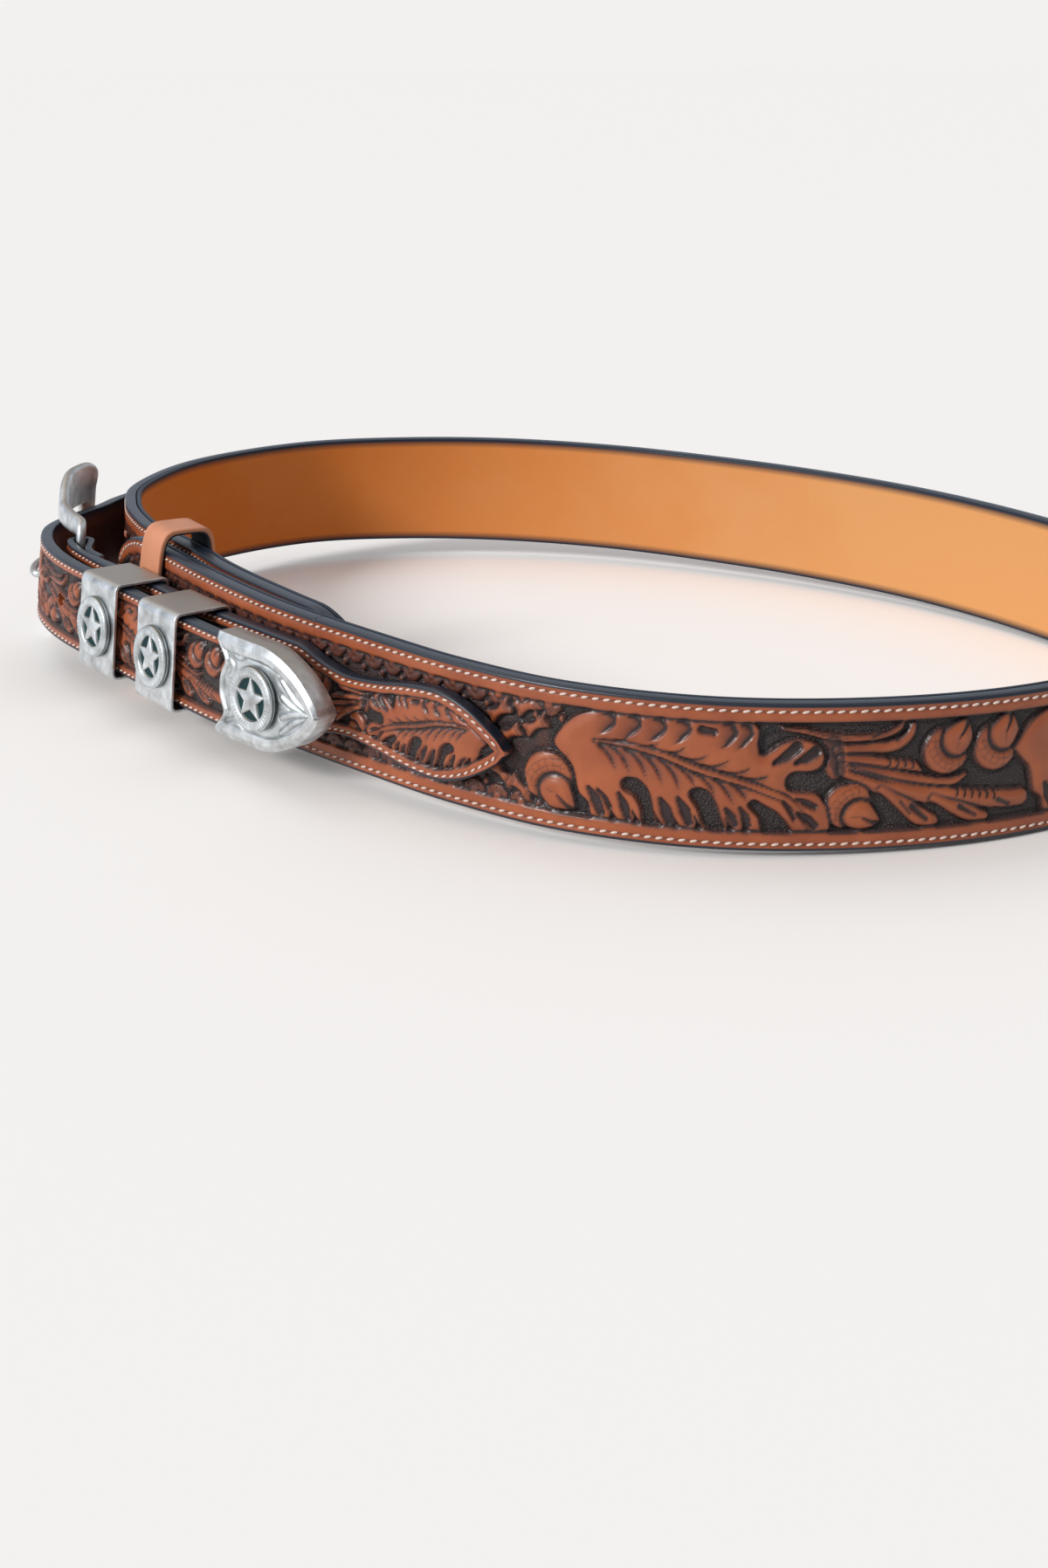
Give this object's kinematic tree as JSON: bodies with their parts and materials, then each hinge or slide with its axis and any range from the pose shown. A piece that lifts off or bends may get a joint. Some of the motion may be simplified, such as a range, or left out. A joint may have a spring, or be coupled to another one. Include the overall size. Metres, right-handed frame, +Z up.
{
  "type": "western tooled belt",
  "caption": "Fastened western leather belt standing on its edge: tooled body, smooth lining, narrow billets with leaf-shaped ends, flared buckle, metal keepers, star studs and pointed tip.",
  "frame": {"origin": "on the surface that the belt stands on, under the middle of its box", "axes": "+X along the loop's long way, with the buckle at the -X end; +Z up, across the strap's width"},
  "size_m": [0.3564, 0.317, 0.054],
  "materials": {
    "tooled_leather": "tooled, antiqued, satin",
    "lining_leather": "smooth, satin",
    "loop_leather": "plain, matt",
    "silver_metal": "engraved, antiqued silver"
  },
  "bodies": {
    "root": {"body_strap": "tooled_leather", "body_lining": "lining_leather", "buckle_billet": "tooled_leather", "tip_billet": "tooled_leather", "leather_loop": "loop_leather", "buckle_frame": "silver_metal", "buckle_tongue": "silver_metal", "keeper_1": "silver_metal", "keeper_2": "silver_metal", "star_stud_1": "silver_metal", "star_stud_2": "silver_metal", "star_stud_3": "silver_metal", "belt_tip": "silver_metal"}
  },
  "joints": []
}
